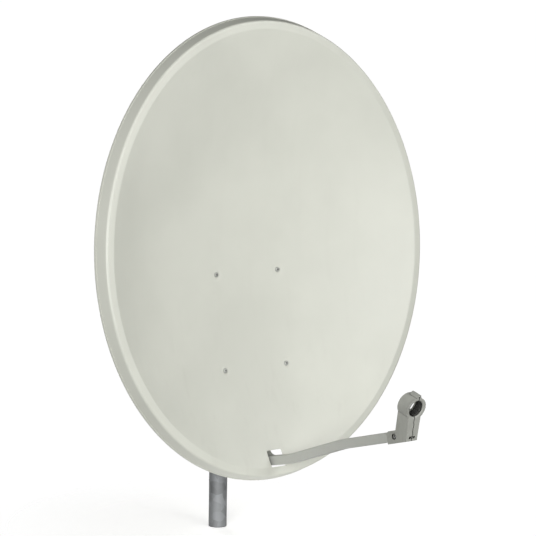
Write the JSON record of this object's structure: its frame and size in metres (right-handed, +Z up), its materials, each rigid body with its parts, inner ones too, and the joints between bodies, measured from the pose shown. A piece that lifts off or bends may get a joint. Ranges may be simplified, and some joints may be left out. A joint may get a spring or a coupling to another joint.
{
  "type": "satellite dish",
  "caption": "Offset parabolic satellite dish on a round mast stub: pressed reflector with a rolled rim, feed arm through its foot, split receiver clamp, tilting and turning rear mount.",
  "frame": {"origin": "centre of the mast tube's open lower end", "axes": "+Z up along the mast; the dish faces -Y; +X is to the right of someone who stands in front of the dish and looks at it"},
  "size_m": [1.0686, 0.7889, 1.3497],
  "materials": {
    "reflector_paint": "pale grey powder coat, satin, on pressed steel",
    "arm_paint": "light grey powder coat, satin, on square steel tube",
    "grey_plastic": "light grey moulded plastic, slightly grained",
    "black_plastic": "black moulded plastic",
    "galvanised_tube": "galvanised steel tube, soft sheen",
    "galvanised_sheet": "galvanised pressed steel with a faint spangle",
    "zinc_fasteners": "bright zinc plate",
    "holder_fasteners": "zinc plated steel, dulled"
  },
  "bodies": {
    "mast": {"mast_tube": "galvanised_tube", "mast_cap": "black_plastic"},
    "head": {"mast_bracket": "galvanised_sheet", "saddle_upper": "galvanised_sheet", "saddle_lower": "galvanised_sheet", "u_bolt_upper": "zinc_fasteners", "u_bolt_lower": "zinc_fasteners", "u_bolt_washers": "zinc_fasteners", "u_bolt_nuts": "zinc_fasteners", "pivot_bolts": "zinc_fasteners", "pivot_washers": "zinc_fasteners", "pivot_nuts": "zinc_fasteners", "lock_bolts": "zinc_fasteners", "lock_washers": "zinc_fasteners", "lock_nuts": "zinc_fasteners"},
    "dish": {"reflector": "reflector_paint", "reflector_screws": "zinc_fasteners", "reflector_nuts": "zinc_fasteners", "mounting_plate": "galvanised_sheet", "left_cheek": "galvanised_sheet", "right_cheek": "galvanised_sheet", "cheek_bolts": "zinc_fasteners", "cheek_nuts": "zinc_fasteners", "feed_arm": "arm_paint", "arm_bolts": "zinc_fasteners", "arm_nuts": "zinc_fasteners", "holder_left": "grey_plastic", "holder_right": "grey_plastic", "holder_bolt": "holder_fasteners", "holder_nut": "holder_fasteners"}
  },
  "joints": [
    {"name": "azimuth", "type": "hinge", "parent": "mast", "child": "head", "pos_m": [0, 0, 0.531], "axis": [0, 0, 1], "continuous": true},
    {"name": "elevation", "type": "hinge", "parent": "head", "child": "dish", "pos_m": [0, -0.06, 0.531], "axis": [-1, 0, 0], "range_deg": [-20, 20]}
  ]
}
